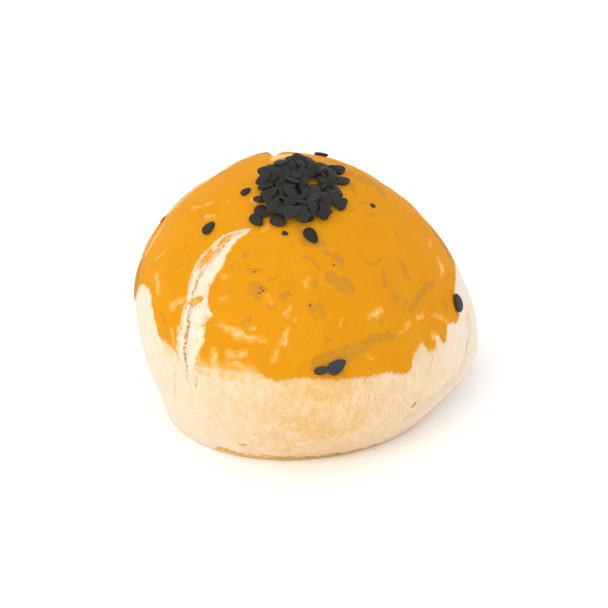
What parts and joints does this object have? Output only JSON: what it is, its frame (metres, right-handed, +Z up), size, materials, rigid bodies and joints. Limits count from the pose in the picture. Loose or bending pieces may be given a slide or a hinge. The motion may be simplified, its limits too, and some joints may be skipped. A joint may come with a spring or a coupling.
{
  "type": "egg yolk pastry",
  "caption": "Round flaky pastry on a flat base, with a golden glazed dome, a split in its crust and a heap of black sesame seeds on top.",
  "frame": {"origin": "middle of the bounding box's underside, on the flat base that the pastry rests on", "axes": "+Z up through the dome; -Y towards the front, where the camera stood; the split lies at the front left"},
  "size_m": [0.0604, 0.0604, 0.046],
  "materials": {
    "crust": "golden egg-yolk glaze, satin",
    "dough": "pale baked flaky dough, matt",
    "sesame": "black sesame, matt"
  },
  "bodies": {
    "root": {"pastry": "crust"}
  },
  "joints": []
}
